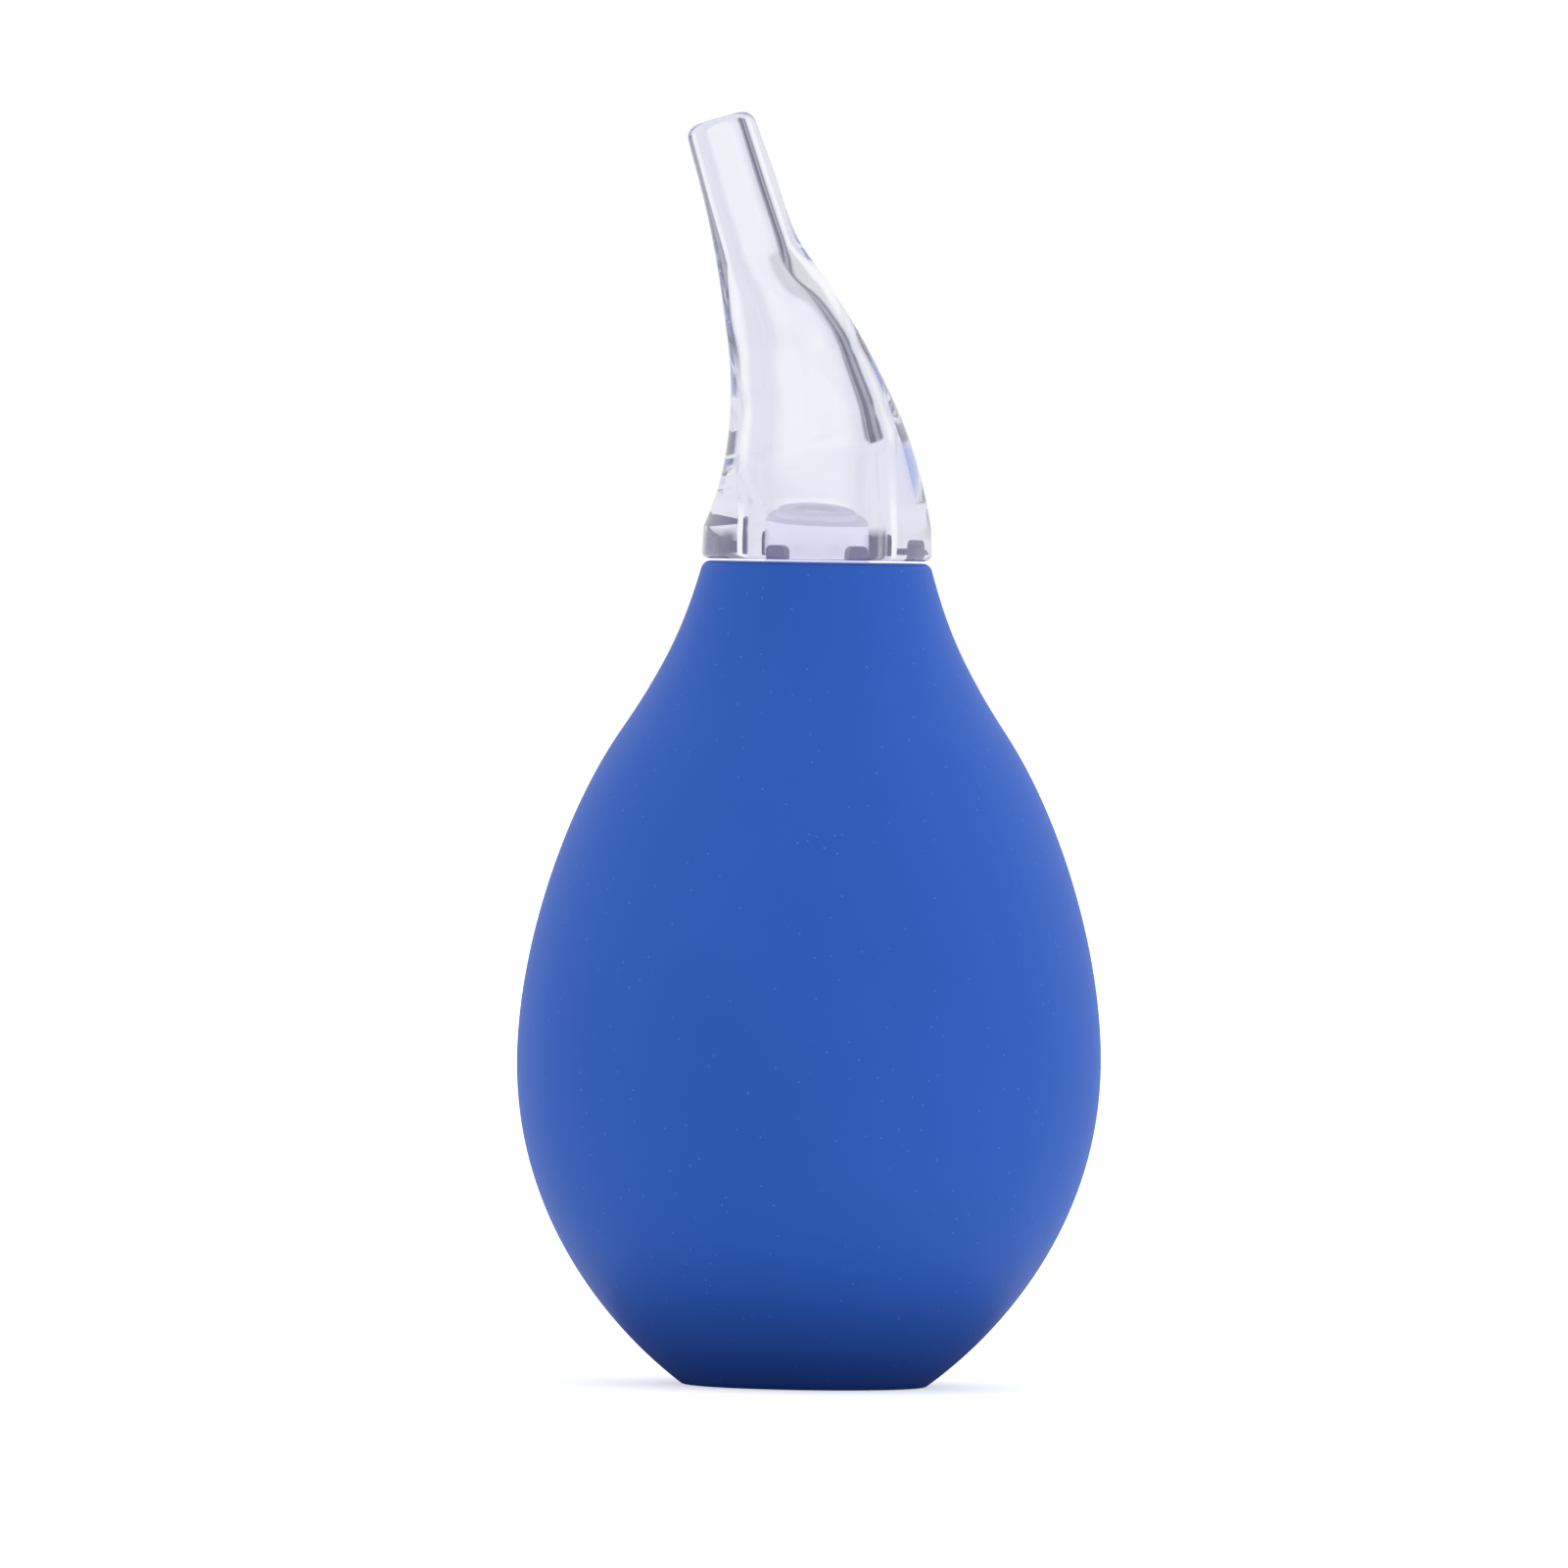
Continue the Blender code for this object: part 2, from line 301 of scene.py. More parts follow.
connector_section = [
    (STUB_BORE_R, STUB_TOP_Z),
    (STUB_R - 0.12, STUB_TOP_Z),
    (STUB_R, STUB_TOP_Z - 0.12),
    (STUB_R, PLUG_TOP_Z),
    (PLUG_R - 0.15, PLUG_TOP_Z),
    (PLUG_R, PLUG_TOP_Z - 0.15),
    (PLUG_R, RIM_Z + 0.1),
    (PLUG_R + 0.1, RIM_Z),
    (SPIGOT_R - 0.2, RIM_Z),
    (SPIGOT_R, RIM_Z - 0.2),
    (SPIGOT_R, SPIGOT_END_Z + 1.4),
    (BEAD_R - 0.1, SPIGOT_END_Z + 0.95),
    (BEAD_R, SPIGOT_END_Z + 0.75),
    (BEAD_R - 0.1, SPIGOT_END_Z + 0.55),
    (SPIGOT_R - 0.3, SPIGOT_END_Z + 0.05),
    (SPIGOT_R - 0.4, SPIGOT_END_Z),
    (SPIGOT_BORE_R + 0.1, SPIGOT_END_Z),
    (SPIGOT_BORE_R, SPIGOT_END_Z + 0.1),
    (SPIGOT_BORE_R, RIM_Z - 2.0),
    (STUB_BORE_R, RIM_Z - 0.5),
    (STUB_BORE_R, STUB_TOP_Z),
]
connector = draw_profile("connector_clear", connector_section)
spin(tau, CONNECTOR_TURN_STEPS)
connector = leave_edit_mode(connector, CONNECTOR_SHARP_ANGLE)

# %% [markdown]
# ## The nozzle, station by station
# The nozzle can't be turned, because it bends. A boat builder would draw such a shape as stations along its
# length, and so does this cell: each row is a ring, with its centre, its tilt and its radius. The horn's
# stations go up the outside, and the bore's and the chamber's come down the inside. In clear plastic the
# inside shows as much as the outside: the dark line down the nozzle's right is the chamber's far wall, so
# the chamber's stations decide how that line runs. The last number widens a ring from front to back, which
# spreads that line out where the chamber opens from the narrow bore.

# %% Stations of the nozzle: centre x, centre z, lean from upright in degrees, radius
HORN = (
    (0.00, 57.2, 0.0, 7.60),
    (0.15, 58.9, 1.0, 7.13),
    (0.10, 61.2, 3.0, 6.52),
    (-0.25, 63.9, 6.0, 5.82),
    (-0.90, 66.7, 9.0, 5.07),
    (-1.80, 69.6, 12.0, 4.35),
    (-2.80, 72.1, 14.5, 3.72),
    (-3.55, 73.9, 16.0, 3.25),
    (-4.30, 75.7, 17.0, 2.83),
    (-5.20, 78.7, 17.5, 2.57),
    (-6.45, 82.6, 17.5, 2.38),
)
TIP = (-7.03, 84.42, 17.5, 2.34)
TIP_EDGE, BASE_R, BASE_EDGE = 0.9, 7.66, 0.45
BORE = ((TIP[0], TIP[1], 17.5, 1.35), (-4.10, 75.2, 17.5, 1.48))
CHAMBER = (  # the same, and then how much wider the ring is from front to back
    (-4.10, 75.2, 17.5, 1.48, 1.00),
    (-3.75, 74.4, 13.0, 1.66, 1.12),
    (-2.83, 72.8, 7.0, 2.18, 1.18),
    (-2.14, 71.3, 4.0, 2.56, 1.12),
    (-1.46, 69.6, 2.0, 2.80, 1.06),
    (-1.05, 68.1, 1.0, 2.92, 1.02),
    (-0.70, 66.6, 0.0, 3.12, 1.00),
    (-0.38, 65.3, 0.0, 3.24, 1.00),
    (-0.20, 64.3, 0.0, 3.32, 1.00),
    (-0.10, 63.4, 0.0, 3.44, 1.00),
    (-0.03, 62.7, 0.0, 3.54, 1.00),
    (0.00, 61.9, 0.0, 3.58, 1.00),
    (0.00, 61.0, 0.0, 3.58, 1.00),
)
SOCKET_R = 3.5


# %% [markdown]
# ## A fair curve through the stations
# Rings joined by straight lines would show as bands, most of all in a refracting material. A natural cubic
# spline is what a bent wooden batten does: it passes through every station with the least bending. It is
# read at evenly spaced heights, much closer together than the stations are, and each reading is a hoop.


# %% Smooth stations, and the hoops they become
def smooth_stations(stations, count):
    """A natural cubic spline through the stations, read at evenly spaced heights."""
    table = np.array(stations, float)
    heights = table[:, 1]
    order = np.argsort(heights)
    heights, table = heights[order], table[order]
    gaps = np.diff(heights)
    size = len(heights)
    matrix, sides = np.eye(size), np.zeros((size, table.shape[1]))
    for i in range(1, size - 1):
        matrix[i, i - 1 : i + 2] = gaps[i - 1], 2 * (gaps[i - 1] + gaps[i]), gaps[i]
        sides[i] = 6 * ((table[i + 1] - table[i]) / gaps[i] - (table[i] - table[i - 1]) / gaps[i - 1])
    bends = np.linalg.solve(matrix, sides)
    read = np.linspace(heights[0], heights[-1], count)
    i = np.clip(np.searchsorted(heights, read) - 1, 0, size - 2)
    h, after, before = gaps[i][:, None], (read - heights[i])[:, None], (heights[i + 1] - read)[:, None]
    smooth = bends[i] * before**3 / (6 * h) + bends[i + 1] * after**3 / (6 * h)
    smooth += (table[i] / h - bends[i] * h / 6) * before + (table[i + 1] / h - bends[i + 1] * h / 6) * after
    return [tuple(row) for row in (smooth if stations[0][1] < stations[-1][1] else smooth[::-1])]


def rounding_over_tip(count):
    """Hoops that round the tip's edge, in to its flat mouth."""
    x, z, lean, radius = TIP
    hoops = []
    for turn in np.linspace(0, pi / 2, count):
        back = TIP_EDGE * (1 - sin(turn))
        centre = (x + back * sin(radians(lean)), z - back * cos(radians(lean)))
        hoops.append((*centre, lean, radius - TIP_EDGE * (1 - cos(turn))))
    return hoops


def base_hoops(count):
    hoops = []
    for turn in np.linspace(0, pi / 2, count):
        z = NOZZLE_BOTTOM_Z + BASE_EDGE * (1 - cos(turn))
        hoops.append((0, z, 0, BASE_R - BASE_EDGE * (1 - sin(turn))))
    return hoops


MOUTH_BEVEL, SOCKET_BEVEL = 0.12, 0.1
hoops = base_hoops(6)
hoops += smooth_stations(HORN, 64)
hoops += rounding_over_tip(9)
mouth_x, mouth_z, mouth_lean, mouth_r = BORE[0]
bevel_x, bevel_z = MOUTH_BEVEL * sin(radians(mouth_lean)), MOUTH_BEVEL * cos(radians(mouth_lean))
hoops += [(mouth_x, mouth_z, mouth_lean, mouth_r + MOUTH_BEVEL)]
hoops += [(mouth_x + bevel_x, mouth_z - bevel_z, mouth_lean, mouth_r)]
hoops += smooth_stations(BORE, 12)[1:]
hoops += smooth_stations(CHAMBER, 60)[1:]
hoops += [(0, STUB_TOP_Z, 0, SOCKET_R + 0.03), (0, NOZZLE_BOTTOM_Z + SOCKET_BEVEL, 0, SOCKET_R)]
hoops += [(0, NOZZLE_BOTTOM_Z, 0, SOCKET_R + SOCKET_BEVEL)]
print("hoops:", len(hoops))


# %% [markdown]
# ## Extrude from hoop to hoop
# The nozzle starts as one circle under its base. It is extruded to the next hoop, turned about that hoop's
# centre to the new tilt, and scaled to the new radius. The walk goes up the outside, over the tip and back
# down the inside, so it ends beside its start, and bridging the two open loops closes the skin.


# %% Extrude from hoop to hoop
NOZZLE_SIDES, NOZZLE_SHARP_ANGLE = 128, 30


def stack_of_hoops(name, hoops, sides):
    """A closed skin over hoops that lie along a curve. Each is x, z, tilt, radius and, if not 1, width."""
    x, z, lean, radius, width = (*hoops[0], 1.0)[:5]
    start = (x * MM, 0, z * MM)
    circle = bpy.ops.mesh.primitive_circle_add
    piece = add_primitive(name, circle, vertices=sides, radius=radius * MM, location=start)
    bpy.ops.object.mode_set(mode="OBJECT")
    bpy.ops.object.transform_apply(location=True, rotation=True, scale=True)
    bpy.ops.object.mode_set(mode="EDIT")
    bpy.ops.mesh.select_mode(type="EDGE")
    bpy.ops.mesh.select_all(action="SELECT")
    for hoop in hoops[1:]:
        nx, nz, new_lean, new_radius, new_width = (*hoop, 1.0)[:5]
        step = ((nx - x) * MM, 0, (nz - z) * MM)
        centre = (nx * MM, 0, nz * MM)
        bpy.ops.mesh.extrude_edges_move(TRANSFORM_OT_translate={"value": step})
        if new_lean != lean:
            turn = radians(new_lean - lean)
            bpy.ops.transform.rotate(value=turn, orient_axis="Y", center_override=centre)
        if (new_radius, new_width) != (radius, width):
            size = new_radius / radius
            bpy.ops.transform.resize(value=(size, size * new_width / width, size), center_override=centre)
        x, z, lean, radius, width = nx, nz, new_lean, new_radius, new_width
    open_edges()
    bpy.ops.mesh.bridge_edge_loops()
    return piece


nozzle = stack_of_hoops("nozzle_clear", hoops, NOZZLE_SIDES)
nozzle = leave_edit_mode(nozzle, NOZZLE_SHARP_ANGLE)
print("nozzle spans", [round(v / MM, 2) for v in (*nozzle.bound_box[0], *nozzle.bound_box[6])])

# %% [markdown]
# ## Pockets in the nozzle's underside
# Eight arched pockets are moulded into the rim of the base, the ones beside the plane of the bend a little
# taller. Each is a block: a cube scaled to size, with its two upper edges bevelled to make the arch, turned
# to its place round the base. A Boolean cuts the blocks out of the nozzle, one after the other.

# %% Cut the pockets
POCKET_COUNT, POCKET_WIDTH = 8, 1.3
POCKET_INNER_R, POCKET_OUTER_R = 6.0, 7.1
SHORT_POCKET, TALL_POCKET = 0.95, 1.4
POCKET_BELOW = 1.0  # how far a block stands out under the nozzle
POCKET_ARCH = POCKET_WIDTH * 0.3


def pocket_block(index):
    beside_the_bend = index % (POCKET_COUNT // 2) in (0, POCKET_COUNT // 2 - 1)
    depth = TALL_POCKET if beside_the_bend else SHORT_POCKET
    middle_z = NOZZLE_BOTTOM_Z + (depth - POCKET_BELOW) / 2
    block = add_primitive(f"pocket_{index}", bpy.ops.mesh.primitive_cube_add, size=1)
    size = (POCKET_OUTER_R - POCKET_INNER_R, POCKET_WIDTH, depth + POCKET_BELOW)
    bpy.ops.transform.resize(value=tuple(side * MM for side in size), center_override=(0, 0, 0))
    centre = ((POCKET_INNER_R + POCKET_OUTER_R) / 2 * MM, 0, middle_z * MM)
    bpy.ops.transform.translate(value=centre)
    bpy.ops.mesh.select_mode(type="EDGE")
    bpy.ops.mesh.select_all(action="DESELECT")
    bpy.ops.object.mode_set(mode="OBJECT")
    points = block.data.vertices
    for edge in block.data.edges:
        ends = [points[i].co for i in edge.vertices]
        along_radius = abs(ends[0].x - ends[1].x) > size[0] / 2 * MM
        edge.select = along_radius and min(end.z for end in ends) > middle_z * MM
    bpy.ops.object.mode_set(mode="EDIT")
    bpy.ops.mesh.bevel(offset=POCKET_ARCH * MM, segments=6, affect="EDGES")
    bpy.ops.object.mode_set(mode="OBJECT")
    block.rotation_euler.z = (index + 0.5) * tau / POCKET_COUNT
    bpy.ops.object.transform_apply(location=True, rotation=True, scale=True)
    return block


for index in range(POCKET_COUNT):
    block = pocket_block(index)
    apply_modifier(nozzle, "BOOLEAN", operation="DIFFERENCE", solver="EXACT", object=block)
    bpy.data.objects.remove(block)
bpy.ops.object.shade_smooth_by_angle(angle=radians(NOZZLE_SHARP_ANGLE))
print("nozzle with pockets:", len(nozzle.data.polygons), "faces")

# %% [markdown]
# ## Materials as node graphs
# Every material is the Principled shader with a small graph in front of it. The graph starts from the
# Texture Coordinate node's Object output, so that a pattern has a true size in metres and stays on its piece
# when the piece moves. A noise makes a value that varies from place to place, and a colour ramp turns that
# value into a colour. These helpers add one such step each.


# %% Helpers for materials
def new_material(name):
    made = bpy.data.materials.new(name)
    made.use_nodes = True
    nodes = made.node_tree.nodes
    return made, nodes, made.node_tree.links, nodes["Principled BSDF"]


def noise_at(nodes, links, place, scale, detail=2.0, roughness=0.5):
    noise = nodes.new("ShaderNodeTexNoise")
    noise.inputs["Scale"].default_value = scale
    noise.inputs["Detail"].default_value = detail
    noise.inputs["Roughness"].default_value = roughness
    links.new(place.outputs["Object"], noise.inputs["Vector"])
    return noise


def ramp_of(nodes, links, source, stops):
    """A colour ramp on a value, from (position, colour) stops."""
    ramp = nodes.new("ShaderNodeValToRGB")
    elements = ramp.color_ramp.elements
    elements[0].position, elements[0].color = stops[0][0], (*stops[0][1], 1.0)
    elements[1].position, elements[1].color = stops[-1][0], (*stops[-1][1], 1.0)
    for position, colour in stops[1:-1]:
        elements.new(position).color = (*colour, 1.0)
    links.new(source, ramp.inputs["Fac"])
    return ramp


# %% [markdown]
# ## Silicone
# Moulded silicone is matte. Its colour is even, with a very fine grain, and dust clings to it as tiny pale
# specks. A rough surface with weak reflections keeps the blue deep, a bump of a few hundredths of a
# millimetre gives the grain, and the specks are the centres of a fine Voronoi pattern. The flat rim under
# the nozzle has the same material with a faint glow, for the light that the clear plastic leads down to it
# and that spreads in the silicone.

# %% Blue silicone
silicone, nodes, links, shader = new_material("blue_silicone")
place = nodes.new("ShaderNodeTexCoord")
cloud = noise_at(nodes, links, place, 60, 3)
tone = ramp_of(nodes, links, cloud.outputs["Fac"], [(0.3, (0.025, 0.114, 0.53)), (0.7, (0.028, 0.121, 0.56))])
DUST_SCALE, DUST_SHOWS, DUST_COLOUR = 1100, 0.16, (0.35, 0.5, 0.8, 1)
dust = nodes.new("ShaderNodeTexVoronoi")
dust.inputs["Scale"].default_value = DUST_SCALE
links.new(place.outputs["Object"], dust.inputs["Vector"])
speck_stops = [(0.0, (1, 1, 1)), (0.05, (1, 1, 1)), (0.1, (0, 0, 0))]
speck = ramp_of(nodes, links, dust.outputs["Distance"], speck_stops)
dusted = nodes.new("ShaderNodeMix")
dusted.data_type = "RGBA"
faint = nodes.new("ShaderNodeMath")
faint.operation = "MULTIPLY"
faint.inputs[1].default_value = DUST_SHOWS
links.new(speck.outputs["Color"], faint.inputs[0])
links.new(faint.outputs["Value"], dusted.inputs["Factor"])
links.new(tone.outputs["Color"], dusted.inputs["A"])
dusted.inputs["B"].default_value = DUST_COLOUR
links.new(dusted.outputs["Result"], shader.inputs["Base Color"])
shader.inputs["Roughness"].default_value = 0.5
shader.inputs["IOR"].default_value = 1.41
shader.inputs["Specular IOR Level"].default_value = 0.18
grain = noise_at(nodes, links, place, 5000, 3, 0.6)
bump = nodes.new("ShaderNodeBump")
bump.inputs["Strength"].default_value = 0.12
bump.inputs["Distance"].default_value = 0.05 * MM
links.new(grain.outputs["Fac"], bump.inputs["Height"])
links.new(bump.outputs["Normal"], shader.inputs["Normal"])

rim_silicone = silicone.copy()
rim_silicone.name = "rim_silicone"
rim_shader = rim_silicone.node_tree.nodes["Principled BSDF"]
rim_shader.inputs["Emission Color"].default_value = (0.30, 0.40, 0.85, 1.0)
rim_shader.inputs["Emission Strength"].default_value = 0.4

# %% [markdown]
# ## Clear plastic
# The nozzle and the connector are clear, rigid and polished. All light goes through, bent by the index of
# refraction, and the walls' thickness does the rest: the dark and bright lines in clear plastic are real
# refraction, so they come from the shape and the surroundings and not from the material. Only the parts
# that are moulded against a rough tool are made matt: the connector's plug and the faces of the pockets.
# The pockets' faces also get a darker violet tint and let less light through, which is painted shade for
# how dark the pockets look. A glow stands for the light that is scattered inside the plug.

# %% Clear plastic, and the matt surfaces on it
CLEAR_IOR = 1.53
clear, nodes, links, shader = new_material("clear_plastic")
place = nodes.new("ShaderNodeTexCoord")
haze = noise_at(nodes, links, place, 300, 2)
tint = ramp_of(nodes, links, haze.outputs["Fac"], [(0.3, (0.97, 0.97, 0.99)), (0.7, (0.985, 0.985, 0.998))])
links.new(tint.outputs["Color"], shader.inputs["Base Color"])
shader.inputs["Roughness"].default_value = 0.0
shader.inputs["IOR"].default_value = CLEAR_IOR
shader.inputs["Transmission Weight"].default_value = 1.0


def matt_plastic(name, darker, lighter, roughness, transmission, glow):
    """Plastic that scatters light: between two tints, part see-through, and glowing by this much."""
    made, nodes, links, shader = new_material(name)
    place = nodes.new("ShaderNodeTexCoord")
    haze = noise_at(nodes, links, place, 2000, 3)
    tint = ramp_of(nodes, links, haze.outputs["Fac"], [(0.3, darker), (0.7, lighter)])
    links.new(tint.outputs["Color"], shader.inputs["Base Color"])
    shader.inputs["Roughness"].default_value = roughness
    shader.inputs["IOR"].default_value = CLEAR_IOR
    shader.inputs["Transmission Weight"].default_value = transmission
    shader.inputs["Emission Color"].default_value = (0.84, 0.84, 0.98, 1.0)
    shader.inputs["Emission Strength"].default_value = glow
    return made


frosted = matt_plastic("frosted_plastic", (0.72, 0.71, 0.78), (0.78, 0.77, 0.83), 0.6, 0.0, 0.26)
hazy = matt_plastic("hazy_plastic", (0.82, 0.82, 0.89), (0.86, 0.86, 0.92), 0.6, 0.0, 0.47)
# The pockets' darker violet tint, and the light that it holds back, are painted shade.
pocket_painted_shade = matt_plastic("pocket_painted_shade_plastic", (0.49, 0.47, 0.62), (0.55, 0.53, 0.68), 0.5, 0.3, 0.0)

# %% [markdown]
# ## Which face gets which material
# A mesh can hold several materials, and each face has the number of the one it shows. The faces are told
# apart by where they are: how far out from the upright axis, and how high.


# %% Give the pieces their materials
def dress(piece, looks, look_at):
    """Adds the materials, and gives each face the one that look_at(out, z) names by its number."""
    for look in looks:
        piece.data.materials.append(look)
    for face in piece.data.polygons:
        face.material_index = look_at(face.center.xy.length / MM, face.center.z / MM)
    print(piece.name, "is dressed in", ", ".join(look.name for look in looks))


def bulb_look(out, z):
    return 1 if z > RIM_Z - 0.05 and MOUTH_R + 0.1 < out < RIM_R else 0


def connector_look(out, z):
    if z < RIM_Z + 0.02 or out < STUB_BORE_R:
        return 0
    return 1 if z > PLUG_TOP_Z - 0.2 else 2


def nozzle_look(out, z):
    in_the_pockets = POCKET_INNER_R - 0.05 < out < POCKET_OUTER_R + 0.05
    return 1 if in_the_pockets and NOZZLE_BOTTOM_Z + 0.01 < z < PLUG_TOP_Z else 0


for piece in (bulb_front, bulb_back):
    dress(piece, (silicone, rim_silicone), bulb_look)
dress(connector, (clear, frosted, hazy), connector_look)
# The pocket faces get the plastic with painted shade.
dress(nozzle, (clear, pocket_painted_shade), nozzle_look)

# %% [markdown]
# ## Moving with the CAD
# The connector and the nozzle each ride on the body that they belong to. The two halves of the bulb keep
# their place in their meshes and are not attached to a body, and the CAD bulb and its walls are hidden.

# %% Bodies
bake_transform(bulb_front)
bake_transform(bulb_back)
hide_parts("bulb", "bulb_front_wall")
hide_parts("bulb_back_wall")
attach(connector, "connector")
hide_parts("connector")
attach(nozzle, "nozzle")
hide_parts("nozzle")

# %% [markdown]
# ## The floor
# A white floor close under a white object would throw light up at it from below, and here the bulb's
# underside should fall off to a deep blue. So the pale floor is for the camera only, which still sees the
# soft shadow on it, and a small dark mat that the camera doesn't see takes its place for the light.

# %% Floor and mat
FLOOR_R, MAT_R, MAT_DEPTH = 6.0, 0.021, 0.0001
scene = bpy.context.scene


def flat_disc(name, radius, height, material):
    bpy.ops.object.select_all(action="DESELECT")
    bpy.ops.mesh.primitive_circle_add(vertices=96, radius=radius, fill_type="NGON", location=(0, 0, height))
    disc = bpy.context.object
    disc.name = name
    disc.data.materials.append(material)
    return disc


def paper_material(name, darker, lighter, glow):
    made, nodes, links, shader = new_material(name)
    place = nodes.new("ShaderNodeTexCoord")
    pulp = noise_at(nodes, links, place, 40, 2)
    tint = ramp_of(nodes, links, pulp.outputs["Fac"], [(0.3, darker), (0.7, lighter)])
    links.new(tint.outputs["Color"], shader.inputs["Base Color"])
    shader.inputs["Roughness"].default_value = 1.0
    shader.inputs["Specular IOR Level"].default_value = 0.0
    shader.inputs["Emission Color"].default_value = (1, 1, 1, 1)
    shader.inputs["Emission Strength"].default_value = glow
    return made


white_paper = paper_material("white_paper", (0.86, 0.86, 0.87), (0.88, 0.88, 0.89), 0.5)
dark_paper = paper_material("dark_paper", (0.33, 0.27, 0.29), (0.36, 0.30, 0.32), 0.0)
ground = flat_disc("studio_floor", FLOOR_R, 0, white_paper)
ground.visible_diffuse = ground.visible_glossy = False
ground.visible_transmission = ground.visible_shadow = False
mat = flat_disc("dark_mat", MAT_R, -MAT_DEPTH, dark_paper)
mat.visible_camera = False

# %% [markdown]
# ## Helpers for the surround
# The surround is the world's own node graph. The direction in which a ray leaves the scene gives a bearing
# and a height, and a ramp on each says how bright that part of the surround is. A card is the product of two
# such ramps: one says how far round it reaches, the other how far up.

# %% The surround's node helpers
world = bpy.data.worlds.new("soft_studio")
scene.world = world
world.use_nodes = True
nodes, links = world.node_tree.nodes, world.node_tree.links
background = nodes["Background"]
way = nodes.new("ShaderNodeTexCoord")
split = nodes.new("ShaderNodeSeparateXYZ")
links.new(way.outputs["Generated"], split.inputs["Vector"])


def calculate(operation, first, second, third=0.0):
    """One Math node. Each argument is a number or another node's output."""
    node = nodes.new("ShaderNodeMath")
    node.operation = operation
    for socket, value in zip(node.inputs, (first, second, third)):
        if isinstance(value, (int, float)):
            socket.default_value = value
        else:
            links.new(value, socket)
    return node.outputs["Value"]


def studio_ramp(source, stops):
    """Brightness along a value, from (position, brightness) stops."""
    greys = [(position, (level,) * 3) for position, level in stops]
    return ramp_of(nodes, links, source, greys).outputs["Color"]


bearing = calculate("ARCTAN2", split.outputs["X"], split.outputs["Y"])
around = calculate("MULTIPLY_ADD", bearing, 1 / tau, 0.5)  # 0.5 straight behind the object, 0.75 to its right
height = calculate("MULTIPLY_ADD", split.outputs["Z"], 0.5, 0.5)  # 0.5 level with it, 1 straight above


def card(bearings, elevations):
    """A card from (bearing from straight behind, cover) and (elevation, cover) stops, in degrees."""
    across = studio_ramp(around, [(0.5 + degrees / 360, cover) for degrees, cover in bearings])
    up = studio_ramp(height, [(0.5 + sin(radians(degrees)) / 2, cover) for degrees, cover in elevations])
    return calculate("MULTIPLY", across, up)


def mix_colours(factor, first, second):
    """One Mix node. Each colour is three numbers or another node's output."""
    mixer = nodes.new("ShaderNodeMix")
    mixer.data_type = "RGBA"
    links.new(factor, mixer.inputs["Factor"])
    for socket, colour in zip((mixer.inputs["A"], mixer.inputs["B"]), (first, second)):
        if isinstance(colour, tuple):
            socket.default_value = (*colour, 1)
        else:
            links.new(colour, socket)
    return mixer.outputs["Result"]


# %% [markdown]
# ## Light for the silicone
# The light comes from the surround alone, as in a white tent: brightest behind and at the right, dimmer at
# the front, and dimmest at eye level. That rolls softly over the matte bulb and leaves its front a deeper
# blue than its sides. The camera sees plain white there, and so does what shows through the clear plastic,
# before the cards of the next cell colour it.

# %% How bright the surround is, round and up
ROUND = [(0.0, 0.62), (0.12, 0.77), (0.25, 0.92), (0.35, 1.0), (0.65, 1.0)]
ROUND += [(0.75, 1.1), (0.85, 1.05), (0.95, 0.7), (1.0, 0.62)]
UP_DOWN = [(0.0, 0.95), (0.33, 1.1), (0.42, 1.0), (0.5, 0.86), (0.58, 0.97), (0.67, 1.12), (1.0, 1.12)]

seen = nodes.new("ShaderNodeLightPath")
through = seen.outputs["Is Transmission Ray"]
direct = calculate("MAXIMUM", seen.outputs["Is Camera Ray"], through)
light = calculate("MULTIPLY", studio_ramp(around, ROUND), studio_ramp(height, UP_DOWN))
reflected = calculate("MULTIPLY", light, calculate("SUBTRACT", 1.0, direct))
links.new(calculate("ADD", reflected, direct), background.inputs["Strength"])

# %% [markdown]
# ## Cards for the clear plastic
# Clear plastic has no look of its own: it shows bent pieces of what is around it. Whoever lights glassware
# stands cards just out of view to draw its edges, and these cards do that. The tall dark one at the right
# draws the line down the chamber's wall, with a paler strip in the middle of it. The blue ones stand for
# the bulb, which lights the nozzle's edges. They are on the Light Path node's transmission output, so that
# light that hasn't been through the plastic never meets them and the silicone keeps its even light.

# %% The cards
bright_card = card(
    [(-34, 0.0), (-12, 1.0), (10, 1.0), (26, 0.0)],
    [(-26, 0.0), (-14, 1.0), (12, 1.0), (30, 0.0)],
)
grey_card = card(
    [(2, 0.0), (9, 1.0), (30, 1.0), (36, 0.0)],
    [(4, 0.0), (12, 1.0), (50, 1.0), (60, 0.0)],
)
dark_card = card(
    [(30, 0.0), (39, 0.9), (43, 0.9), (47, 0.65), (55, 0.65), (60, 0.97), (80, 0.97), (84, 0.0)],
    [(-8, 0.0), (-4, 1.0), (52, 1.0), (58, 0.0)],
)
high_blue_card = card(
    [(-180, 1.0), (-130, 1.0), (-115, 0.0), (120, 0.0), (135, 1.0), (180, 1.0)],
    [(20, 0.0), (30, 1.0), (62, 1.0), (70, 0.0)],
)
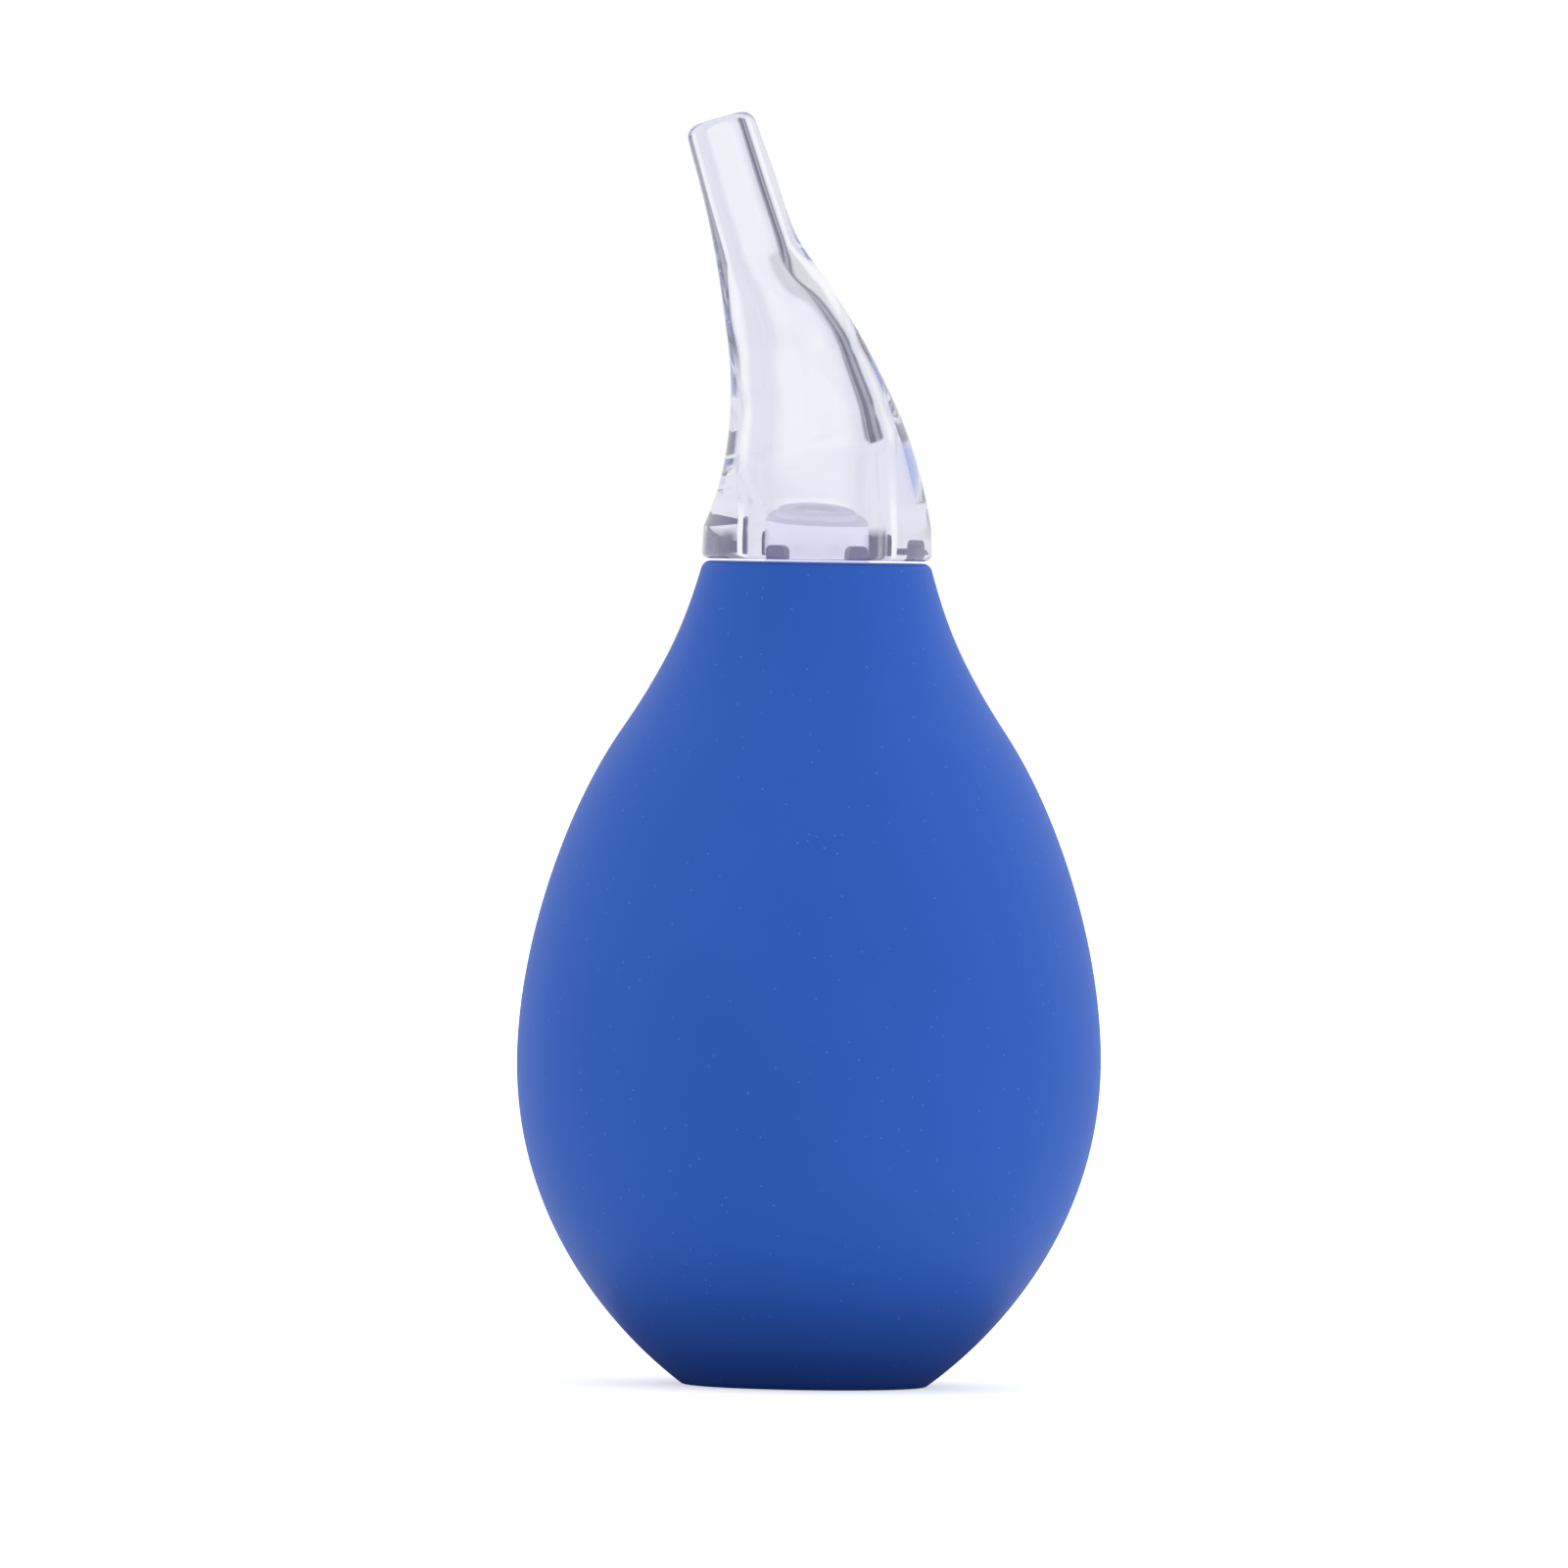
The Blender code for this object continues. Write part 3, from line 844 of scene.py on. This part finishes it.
low_blue_card = card(
    [(-180, 1.0), (-106, 1.0), (-92, 0.0), (180, 0.0)],
    [(-58, 0.0), (-50, 1.0), (-32, 1.0), (-26, 0.0)],
)
backdrop = mix_colours(through, (1.0, 1.0, 1.0), (0.77, 0.77, 0.875))
for cover, colour in (
    (bright_card, (0.94, 0.94, 0.99)),
    (grey_card, (0.66, 0.66, 0.70)),
    (high_blue_card, (0.30, 0.38, 0.75)),
    (low_blue_card, (0.26, 0.33, 0.62)),
    (dark_card, (0.12, 0.12, 0.19)),
):
    backdrop = mix_colours(calculate("MULTIPLY", cover, through), backdrop, colour)
links.new(backdrop, background.inputs["Color"])
print("surround built from", len(nodes), "nodes")

# %% [markdown]
# ## How light is followed and shown
# Along the nozzle's edges light bounces many times inside the plastic before it leaves. Where Cycles stops
# following it too early, the edges turn black, so it may bounce more often here than by default. The
# Standard view transform shows white as plain white, where the filmic ones would grey it.

# %% Bounces and view transform
scene.cycles.max_bounces = scene.cycles.transmission_bounces = 24
scene.cycles.glossy_bounces = 16
scene.view_settings.view_transform = "Standard"

# %% [markdown]
# ## The camera
# The camera is level with the bulb's neck and looks square to the plane in which the nozzle bends. A long
# lens from far away keeps the bulb's outline close to its true section. The focal length is worked out from
# the width that the frame takes in at the object.

# %% Camera
CAMERA_DISTANCE, CAMERA_HEIGHT = 1.35, 0.057
AIM = Vector((-0.00195, 0, 0.0401))
FRAME_WIDTH, ROLL = 0.1046, 0.9  # the roll, in degrees, sets the object slightly askew
lens = bpy.data.cameras.new("long_lens")
lens.sensor_width = 36
lens.lens = lens.sensor_width * CAMERA_DISTANCE / FRAME_WIDTH
lens.clip_start, lens.clip_end = 0.01, 30
camera = bpy.data.objects.new("camera", lens)
camera.location = (AIM.x, -CAMERA_DISTANCE, CAMERA_HEIGHT)
look = (AIM - camera.location).to_track_quat("-Z", "Y").to_matrix().to_4x4()
camera.rotation_mode = "QUATERNION"
camera.rotation_quaternion = (look @ Matrix.Rotation(radians(ROLL), 4, "Z")).to_quaternion()
scene.collection.objects.link(camera)
scene.camera = camera
print(f"lens {lens.lens:.0f} mm at {CAMERA_DISTANCE} m")
